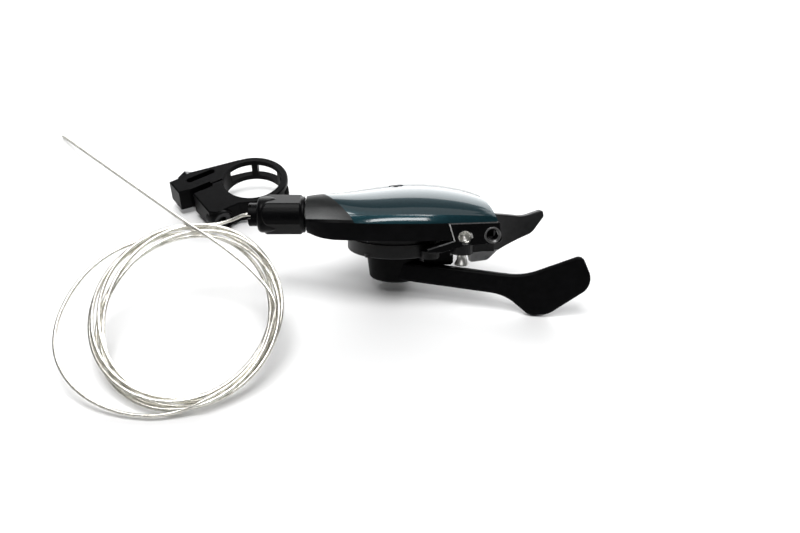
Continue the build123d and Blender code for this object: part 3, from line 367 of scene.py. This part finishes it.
def layCable(setup, finish):
    points = cableRoute(setup)
    curve = routeCurve("cableRoute", points, setup["splineSteps"])
    centreline = bpy.data.meshes.new_from_object(curve)
    piece = grow(
        "gear_cable",
        strandedTree(),
        {
            "Route": curve,
            "Radius": setup["diameter"] / 2,
            "Valley": setup["valley"],
            "Wires": setup["wires"],
            "Lay": setup["wireLay"],
            "Step": setup["ringStep"],
            "Finish": finish,
        },
    )
    bpy.data.objects.remove(curve)
    piece.data.shade_smooth()
    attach(piece, "shifter")
    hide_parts("cable_lead", "cable_loop", "cable_coil", "cable_tail")


# finishes: two tones in a cloud, and a fine grain in the gloss and the relief
blackTones = ((0.0015, 0.0015, 0.0017), (0.003, 0.003, 0.0034))
plainLook = {
    "cloudDetail": 4,
    "grainDetail": 2,
    "toneStops": (0.3, 0.7),  # of the noise, where the dark and the light tone stand
    "stretch": (1, 1, 1),
    "metallic": 0.0,
    "specular": 0.5,
}


def objectNoise(tree, scale, detail, stretch=(1, 1, 1)):
    place = addNode(tree, "ShaderNodeTexCoord").outputs["Object"]
    mapped = addNode(tree, "ShaderNodeMapping", Vector=place, Scale=stretch).outputs["Vector"]
    return addNode(tree, "ShaderNodeTexNoise", Vector=mapped, Scale=scale, Detail=detail).outputs["Fac"]


def toneRamp(tree, value, tones, stops):
    node = addNode(tree, "ShaderNodeValToRGB", Fac=value)
    for element, stop, tone in zip(node.color_ramp.elements, stops, tones):
        element.position = stop
        element.color = (*tone, 1)
    return node.outputs["Color"]


def relief(tree, height, depth):
    return addNode(tree, "ShaderNodeBump", Height=height, Distance=depth).outputs["Normal"]


def grainedMaterial(name, ownLook):
    # satin or matte surface with a fine moulded or blasted grain
    look = {**plainLook, **ownLook}
    material, tree, shader = newMaterial(name)
    cloud = objectNoise(tree, look["cloudScale"], look["cloudDetail"], look["stretch"])
    grain = objectNoise(tree, look["grainScale"], look["grainDetail"], look["stretch"])
    setSockets(
        tree,
        shader,
        Base_Color=toneRamp(tree, cloud, look["tones"], look["toneStops"]),
        Roughness=remap(tree, grain, target=look["roughness"]),
        Metallic=look["metallic"],
        Specular_IOR_Level=look["specular"],
        Normal=relief(tree, grain, look["grainDepth"]),
    )
    return material


# glossy petrol paint; the cover's skirt is shaded a little full, so that it takes a narrow streak
coverPaint = {
    **plainLook,
    "tones": ((0.0015, 0.014, 0.019), (0.003, 0.025, 0.033)),
    "flakeScale": 9000,
    "grainScale": 5000,
    "grainDepth": 0.002 * mm,
    "roughness": (0.24, 0.34),
    "metallic": 0.5,
    "specular": 0.05,
    "coatRoughness": 0.08,
    # heights are over the lever's pivot
    "skirtFoot": 22.8 * mm,
    "skirtHeight": 2.6 * mm,
    "skirtBulge": 0.065 * mm,
    # the paint ends on a line across the cover's left end, in mm right and back of the lever's pivot
    "seam": ((-24.5, -6.5), (-13.4, -17.0)),
    "seamBlur": 0.04 * mm,
    # left of it the cover is satin, as the top of the nose is: black below a crease, dark grey above, with a
    # painted highlight on the grey low down and to the left
    "satinBlack": blackTones,
    "creaseHeight": 23.6 * mm,
    "creaseBlur": 0.2 * mm,
    "satin": ((0.012, 0.0125, 0.0125), (0.02, 0.021, 0.021)),
    "satinPaintedHighlight": ((0.17, 0.173, 0.173), (0.22, 0.223, 0.223)),  # low down and to the left
    "paintedHighlightHeight": 4.0 * mm,
    "paintedHighlightRun": (0.0, 13.0 * mm),
    "satinRoughness": 0.42,
}


def along(tree, output, direction, low, high):
    # 0 to 1 as a surface point, or its normal, goes from low to high in a direction
    reach = tree.nodes.new("ShaderNodeVectorMath")
    reach.operation = "DOT_PRODUCT"
    feed(tree, reach.inputs[0], addNode(tree, "ShaderNodeTexCoord").outputs[output])
    feed(tree, reach.inputs[1], direction)
    return remap(tree, reach.outputs["Value"], source=(low, high))


def mixTones(tree, share, under, over):
    node = tree.nodes.new("ShaderNodeMix")
    node.data_type = "RGBA"
    feed(tree, node.inputs["Factor"], share)
    tones = [socket for socket in node.inputs if socket.type == "RGBA"]
    for socket, tone in zip(tones, (under, over)):
        feed(tree, socket, tone)
    return next(socket for socket in node.outputs if socket.type == "RGBA")


def skirtSwell(tree, look):
    # height of the swell in metres, from the cover's lower edge up its skirt
    foot = levelOf(look["skirtFoot"])
    share = along(tree, "Object", shifterUp, foot, foot + look["skirtHeight"])
    arch = mathNode(tree, "MULTIPLY", share, mathNode(tree, "SUBTRACT", 1, share))
    return mathNode(tree, "MULTIPLY", arch, 4 * look["skirtBulge"])  # the arch is 1/4 high


def paintedSide(tree, look):
    # 1 where the cover is painted, 0 on the nose's side of the seam
    start, end = [Vector(point) * mm for point in look["seam"]]
    run = (end - start).normalized()
    across = shifterRight * -run.y + shifterBack * run.x
    line = across.dot(leverPivot) + start.x * -run.y + start.y * run.x
    return along(tree, "Object", across, line - look["seamBlur"], line + look["seamBlur"])


def aboveCrease(tree, look):
    crease = levelOf(look["creaseHeight"])
    return along(tree, "Object", shifterUp, crease, crease + look["creaseBlur"])


def satinAndHighlightTone(tree, look):
    # dark grey satin above the crease, with a painted highlight low down and to the left; black below the crease
    grain = objectNoise(tree, look["grainScale"], look["grainDetail"])
    tones = [look[key] for key in ("satin", "satinPaintedHighlight", "satinBlack")]
    dim, paintedHighlight, black = [toneRamp(tree, grain, pair, look["toneStops"]) for pair in tones]
    crease = levelOf(look["creaseHeight"])
    low = along(tree, "Object", shifterUp, crease + look["paintedHighlightHeight"], crease)
    left = along(tree, "Object", -shifterRight, *look["paintedHighlightRun"])
    satin = mixTones(tree, mathNode(tree, "MULTIPLY", low, left), dim, paintedHighlight)
    return mixTones(tree, aboveCrease(tree, look), black, satin)


def paintedCover(name, look):
    material, tree, shader = newMaterial(name)
    flake = objectNoise(tree, look["flakeScale"], look["cloudDetail"])
    grain = objectNoise(tree, look["grainScale"], look["grainDetail"])
    painted = paintedSide(tree, look)
    bare = mathNode(tree, "SUBTRACT", 1, painted)
    paint = toneRamp(tree, flake, look["tones"], look["toneStops"])
    gloss = mathNode(tree, "MULTIPLY", painted, remap(tree, grain, target=look["roughness"]))
    matte = mathNode(tree, "MULTIPLY", bare, look["satinRoughness"])
    height = mathNode(tree, "MULTIPLY_ADD", grain, look["grainDepth"], skirtSwell(tree, look))
    surface = relief(tree, height, 1.0)  # the height is in metres already
    setSockets(
        tree,
        shader,
        Base_Color=mixTones(tree, painted, satinAndHighlightTone(tree, look), paint),
        Roughness=mathNode(tree, "ADD", gloss, matte),
        Metallic=mathNode(tree, "MULTIPLY", painted, look["metallic"]),
        Specular_IOR_Level=look["specular"],
        Coat_Weight=painted,
        Coat_Roughness=look["coatRoughness"],
        Normal=surface,
        Coat_Normal=surface,
    )
    return material


def overlayTone(material, share, tone):
    # a second tone over the base colour
    tree = material.node_tree
    base = tree.nodes["Principled BSDF"].inputs["Base Color"]
    feed(tree, base, mixTones(tree, share, base.links[0].from_socket, tone))


def satinNoseAndHighlight(material, look):
    # the nose's top takes the same satin tone and the same painted highlight
    tree = material.node_tree
    overlayTone(material, aboveCrease(tree, look), satinAndHighlightTone(tree, look))


# bevels of the bracket's face, with painted highlights along its top and left edges
bracketEdgeHighlights = {
    "leftEdge": Vector((-0.946, -0.217, -0.239)),
    "spread": 0.03,
    "foot": 15.2 * mm,
    "blur": 0.1 * mm,
    "grainScale": 3000,
    "grainDetail": 3,
    "toneStops": (0.35, 0.65),
    "top": ((0.03, 0.03, 0.031), (0.07, 0.071, 0.072)),
    "left": ((0.25, 0.25, 0.25), (0.6, 0.6, 0.59)),
}


def paintEdgeHighlights(material, look):
    tree = material.node_tree
    face = Vector(mountOf("bracket_hole_inner")["axis"])
    foot = levelOf(look["foot"])
    above = along(tree, "Object", shifterUp, foot, foot + look["blur"])
    for edge, tones in ((shifterUp, look["top"]), (look["leftEdge"], look["left"])):
        bevel = (face + edge).normalized()
        facing = along(tree, "Normal", bevel, 1 - 2 * look["spread"], 1 - look["spread"])
        grain = objectNoise(tree, look["grainScale"], look["grainDetail"])
        # a painted highlight on the bevel's faces, in grained pale tones
        edgeHighlight = toneRamp(tree, grain, tones, look["toneStops"])
        overlayTone(material, mathNode(tree, "MULTIPLY", facing, above), edgeHighlight)


looks = {
    "housing_plastic": {
        "tones": blackTones,
        "cloudScale": 300,
        "grainScale": 6000,
        "grainDepth": 0.01 * mm,
        "roughness": (0.3, 0.44),
        "specular": 0.06,
    },
    "lever_black": {
        "tones": blackTones,
        "cloudScale": 500,
        "grainScale": 9000,
        "grainDepth": 0.01 * mm,
        "roughness": (0.34, 0.48),
        "specular": 0.04,
    },
    "bracket_black": {
        "tones": blackTones,
        "cloudScale": 400,
        "grainScale": 8000,
        "grainDepth": 0.006 * mm,
        "roughness": (0.2, 0.3),
        "specular": 0.06,
    },
    "clamp_black": {
        "tones": blackTones,
        "cloudScale": 400,
        "grainScale": 8000,
        "grainDepth": 0.008 * mm,
        "roughness": (0.28, 0.4),
        "specular": 0.04,
    },
    "barrel_plastic": {
        "tones": blackTones,
        "cloudScale": 300,
        "grainScale": 6000,
        "grainDepth": 0.008 * mm,
        "roughness": (0.24, 0.36),
        "specular": 0.06,
    },
    "mechanism_steel": {
        "tones": ((0.36, 0.36, 0.36), (0.5, 0.5, 0.5)),
        "cloudScale": 900,
        "grainScale": 3000,
        "stretch": (1, 0.1, 1),
        "grainDepth": 0.01 * mm,
        "roughness": (0.25, 0.42),
        "metallic": 1.0,
    },
    "bright_steel": {
        "tones": ((0.6, 0.59, 0.56), (0.78, 0.77, 0.73)),
        "cloudScale": 700,
        "grainScale": 5000,
        "grainDepth": 0.004 * mm,
        "roughness": (0.14, 0.24),
        "metallic": 1.0,
    },
    "dark_steel": {
        "tones": ((0.012, 0.012, 0.013), (0.024, 0.024, 0.026)),
        "cloudScale": 800,
        "grainScale": 5000,
        "grainDepth": 0.006 * mm,
        "roughness": (0.26, 0.4),
        "metallic": 0.6,
    },
    "spool_plastic": {
        "tones": ((0.05, 0.05, 0.052), (0.08, 0.08, 0.084)),
        "cloudScale": 400,
        "grainScale": 5000,
        "grainDepth": 0.02 * mm,
        "roughness": (0.4, 0.55),
    },
    "bush_bronze": {
        "tones": ((0.4, 0.25, 0.1), (0.55, 0.36, 0.16)),
        "cloudScale": 900,
        "grainScale": 6000,
        "grainDepth": 0.01 * mm,
        "roughness": (0.3, 0.45),
        "metallic": 1.0,
    },
    "cable_steel": {
        "tones": ((0.6, 0.58, 0.52), (0.92, 0.9, 0.84)),
        "cloudScale": 600,
        "grainScale": 4000,
        "grainDepth": 0.005 * mm,
        "roughness": (0.22, 0.36),
        "metallic": 1.0,
    },
}
looks["stem_black"] = looks["clamp_black"]
# pieces with a more satin or a paler finish than their slot's others; the web's pale grey is a painted sheen on
# the dark lever
looks["cup_satin"] = {**looks["housing_plastic"], "specular": 0.25, "roughness": (0.36, 0.5)}
looks["blade_satin"] = {
    **looks["lever_black"],
    "tones": ((0.008, 0.008, 0.0085), (0.014, 0.014, 0.0148)),
    "specular": 0.2,
}
looks["web_painted_sheen"] = {**looks["blade_satin"], "tones": ((0.3, 0.3, 0.305), (0.36, 0.36, 0.366))}
looks["cone_steel"] = {
    **looks["bright_steel"],
    "tones": ((0.8, 0.79, 0.76), (0.95, 0.94, 0.9)),
    "roughness": (0.34, 0.46),
}
looks["rim_steel"] = {**looks["dark_steel"], "tones": ((0.08, 0.08, 0.08), (0.13, 0.13, 0.13))}
nodeLooks = {"base_cup": "cup_satin", "release_lever": "blade_satin"}
finishes = {name: grainedMaterial(name, look) for name, look in looks.items()}
finishes["cover_paint"] = paintedCover("cover_paint", coverPaint)
satinNoseAndHighlight(finishes["housing_plastic"], coverPaint)
paintEdgeHighlights(finishes["bracket_black"], bracketEdgeHighlights)
print("materials made:", len(finishes))

layCable(cable, finishes["cable_steel"])
print("cable laid")


# screw threads in the bracket's two holes, the first worn bright
threads = {
    "pitch": 0.8 * mm,
    "ridge": 0.5 * mm,
    "crestSides": 4,
    "ringPoints": 40,
    "holes": {"bracket_hole_inner": "bright_steel", "bracket_hole_outer": "bracket_black"},
}


def threadTree():
    tree = newTree(
        "tappedThread",
        {
            "Radius": "Float",
            "Turns": "Float",
            "Depth": "Float",
            "Ridge": "Float",
            "Crest Sides": "Int",
            "Ring Points": "Int",
            "Finish": "Material",
        },
    )
    given = addNode(tree, "NodeGroupInput").outputs
    helix = addNode(
        tree,
        "GeometryNodeCurveSpiral",
        Resolution=given["Ring Points"],
        Rotations=given["Turns"],
        Start_Radius=given["Radius"],
        End_Radius=given["Radius"],
        Height=given["Depth"],
    )
    upright = addNode(tree, "GeometryNodeSetCurveNormal", Curve=helix.outputs["Curve"])
    upright.mode = "Z_UP"
    crest = addNode(
        tree,
        "GeometryNodeCurvePrimitiveCircle",
        Resolution=given["Crest Sides"],
        Radius=given["Ridge"],
    )
    sweep(tree, upright.outputs["Curve"], crest.outputs["Curve"], given["Finish"])
    return tree


def standing(place, axis):
    # puts Z along an axis at a place
    return Matrix.Translation(place) @ Vector(axis).to_track_quat("Z", "Y").to_matrix().to_4x4()


def tapHole(setup, tree, holeName, slotName):
    mount = mountOf(holeName)
    depth = mount["dims"]["length_mm"] * mm - setup["pitch"]
    piece = grow(
        holeName + "_thread",
        tree,
        {
            "Radius": mount["dims"]["r_mm"] * mm,
            "Turns": depth / setup["pitch"],
            "Depth": depth,
            "Ridge": setup["ridge"],
            "Crest Sides": setup["crestSides"],
            "Ring Points": setup["ringPoints"],
            "Finish": finishes[slotName],
        },
    )
    middle = Matrix.Translation((0, 0, -depth / 2))
    piece.data.transform(standing(mount["pos_m"], mount["axis"]) @ middle)
    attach(piece, "shifter")


thread = threadTree()
for holeName, slotName in threads["holes"].items():
    tapHole(threads, thread, holeName, slotName)
print("holes tapped")


# turned and flat pieces, drawn in mm
meshFinish = {"mergeWithin": 0.0001 * mm, "sharpAngle": 32}


def finishPiece(name, work):
    bmesh.ops.remove_doubles(work, verts=work.verts, dist=meshFinish["mergeWithin"])
    bmesh.ops.recalc_face_normals(work, faces=work.faces)
    mesh = bpy.data.meshes.new(name)
    work.to_mesh(mesh)
    work.free()
    mesh.shade_smooth()
    mesh.set_sharp_from_angle(angle=math.radians(meshFinish["sharpAngle"]))
    return addObject(name, mesh)


def turned(name, outline, spans=48, reshape=None):
    # turns a closed outline of (radius, depth) about Z; reshape may change a radius by angle
    work = bmesh.new()
    rings = []
    for step in range(spans):
        angle = math.tau * step / spans
        ring = []
        for radius, depth in outline:
            reach = reshape(radius, depth, angle) if reshape else radius
            place = Vector((reach * math.cos(angle), reach * math.sin(angle), depth))
            ring.append(work.verts.new(place * mm))
        rings.append(ring)
    for ring, following in zip(rings, rings[1:] + rings[:1]):
        for index in range(len(outline)):
            after = (index + 1) % len(outline)
            work.faces.new((ring[index], ring[after], following[after], following[index]))
    return finishPiece(name, work)


def plate(name, outline, thickness):
    # an outline with its thickness to both sides of Z = 0
    work = bmesh.new()
    sides = []
    for z in (-thickness / 2, thickness / 2):
        sides.append([work.verts.new(Vector((*point, z)) * mm) for point in outline])
    for side in sides:
        work.faces.new(side)
    for index in range(len(outline)):
        after = (index + 1) % len(outline)
        work.faces.new((sides[0][index], sides[0][after], sides[1][after], sides[1][index]))
    return finishPiece(name, work)


def turnTo(piece, place, *axes):
    # the piece's X, Y and Z go along the given axes
    piece.data.transform(Matrix.Translation(place) @ Matrix(axes).transposed().to_4x4())


def dress(piece, body, finish):
    piece.data.materials.append(finishes[finish])
    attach(piece, body)


# inside of the bracket's holes: a bright drilled cone and a rolled rim, with depths from a hole's middle
holeFittings = {
    "bracket_hole_cone": {
        "hole": "bracket_hole_inner",
        "outline": [(2.05, 0.4), (1.25, -0.4), (0.4, -1.1), (0, -1.2), (0, -1.65), (2.05, -1.65)],
        "slot": "bright_steel",
        "finish": "cone_steel",
    },
    "bracket_hole_rim": {
        "hole": "bracket_hole_outer",
        "outline": [
            (2.8, 2.13),
            (2.7, 2.25),
            (2.45, 2.2),
            (1.98, 1.7),
            (1.94, 1.2),
            (2.1, 1.2),
            (2.1, 1.67),
            (2.55, 2.13),
        ],
        "slot": "dark_steel",
        "finish": "rim_steel",
    },
}
for name, fitting in holeFittings.items():
    hole = mountOf(fitting["hole"])
    lining = turned(name, fitting["outline"])
    lining.data.transform(standing(hole["pos_m"], hole["axis"]))
    dress(lining, "shifter", fitting["finish"])
print("holes lined")


# pivot screw of the release lever: a flared head below the lever's hub
releasePivot = Vector(jointOf("release_lever_pivot")["pos_m"])
pivotScrew = {
    "seat": -0.05,  # of the head, from the hub's underside
    "head": [
        (0, -4.3),
        (1.7, -4.3),
        (2.3, -4.1),
        (2.44, -3.8),
        (2.36, -3.5),
        (1.8, -2.6),
        (1.5, -1.2),
        (1.4, 0),
    ],
    "shank": [(1.5, 0), (1.5, 10.7), (0, 10.7)],
}


def addScrew(setup):
    screw = turned("release_screw", setup["head"] + setup["shank"])
    screw.data.transform(standing(releasePivot + shifterUp * setup["seat"] * mm, shifterUp))
    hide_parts("release_pivot_screw")
    dress(screw, "shifter", "cone_steel")


# web under the release lever's arm: along the arm and up, from the hub's underside; its pale grey is a painted
# sheen
releaseWeb = {
    "angle": 22.4,
    "outline": [(2.4, 0.2), (13.0, 0.0), (9.4, -2.9), (8.6, -3.2), (3.2, -3.3)],
    "thickness": 2.3,
}


def addWeb(setup):
    turn = math.radians(setup["angle"])
    arm = shifterRight * math.cos(turn) + shifterBack * math.sin(turn)
    web = plate("release_web", setup["outline"], setup["thickness"])
    turnTo(web, releasePivot, arm, shifterUp, arm.cross(shifterUp))
    dress(web, "release_lever", "web_painted_sheen")


# dark lug between the base cup and the pivot screw, partly a part there and partly painted shade: a dark sheet
# drawn out to fill gaps that lie in shadow; right and up from the lever's pivot
baseLugShadeFill = {
    "outline": [
        (9.4, 9.6),
        (13.2, 9.6),
        (13.2, 13.2),
        (18.2, 13.2),
        (18.2, 9.7),
        (19.2, 9.7),
        (19.2, 7.2),
        (18.4, 6.4),
        (9.4, 6.2),
    ],
    "back": -6.4,
    "thickness": 4.0,
}


def addLugShadeFill(setup):
    lug = plate("base_lug", setup["outline"], setup["thickness"])
    middle = leverPivot + shifterBack * setup["back"] * mm
    turnTo(lug, middle, shifterRight, shifterUp, -shifterBack)
    dress(lug, "shifter", "housing_plastic")


addScrew(pivotScrew)
addWeb(releaseWeb)
addLugShadeFill(baseLugShadeFill)
print("release lever fitted")


# grip of the cable adjuster: raised pads with flats between; lengths from its outer end
grip = {
    "length": 15.8,
    "radius": 6.0,
    "ends": (1.6, 0.5),  # roundings of its outer and inner ends
    "pads": (-34, 86, 206),  # degrees down from the camera's side
    "padRise": 0.55,
    "padStart": (2.2, 6.4),  # at a pad's middle and at its sides: its outer end is pointed
    "padEnd": 14.2,
    "padSlope": 0.7,
    "flatReach": 5.75,
    "bores": ((3.9, 8.0), (4.4, 15.8)),  # radius, and how far it goes
    "boreMargin": 0.1,  # this near to the bores it stays round
    "steps": 56,
    "spans": 144,
}


def ease(value, low, high):
    share = min(max((value - low) / (high - low), 0), 1)
    return share * share * (3 - 2 * share)


def gripReach(radius, depth, angle):
    widestBore = grip["bores"][1][0]
    if radius < widestBore + grip["boreMargin"]:
        return radius
    halfPad = math.pi / len(grip["pads"])
    aside = min(abs(math.remainder(angle - math.radians(middle), math.tau)) for middle in grip["pads"])
    middleStart, sideStart = grip["padStart"]
    start = middleStart + (sideStart - middleStart) * (aside / halfPad) ** 2
    slope = grip["padSlope"]
    rise = ease(depth, start - slope, start) * (1 - ease(depth, grip["padEnd"], grip["padEnd"] + slope))
    flat = grip["flatReach"] / math.cos(halfPad - aside)
    return radius + rise * (min(radius + grip["padRise"], flat) - radius)


def rounding(fromEnd, size):
    # how much a rounded end takes off the radius
    inside = max(0, 1 - fromEnd / size) * size
    return size - math.sqrt(max(size**2 - inside**2, 0))


def gripOutline(setup):
    length, radius = setup["length"], setup["radius"]
    outerRound, innerRound = setup["ends"]
    outline = []
    for step in range(setup["steps"] + 1):
        depth = length * step / setup["steps"]
        outline.append((radius - rounding(depth, outerRound) - rounding(length - depth, innerRound), depth))
    (outerBore, outerDepth), (innerBore, innerDepth) = setup["bores"]
    outline += [(innerBore, innerDepth), (innerBore, outerDepth), (outerBore, outerDepth), (outerBore, 0)]
    return outline


def fitGrip(setup):
    barrel = turned("adjuster_grip", gripOutline(setup), setup["spans"], gripReach)
    # its angles start on the camera's side and go down, and its length runs to the right
    turnTo(barrel, jointOf("barrel_turn")["pos_m"], (0, -1, 0), (0, 0, -1), (1, 0, 0))
    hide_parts("adjuster_barrel")
    dress(barrel, "adjuster_barrel", "barrel_plastic")


fitGrip(grip)
print("grip fitted")

# every CAD node wears its slot's material, apart from the two satin pieces
for subpart in frame["record"]["subparts"]:
    mesh = frame["nodes"][subpart["node"]].data
    mesh.materials.clear()
    mesh.materials.append(finishes[nodeLooks.get(subpart["node"], subpart["material_slot"])])
print("solids dressed")
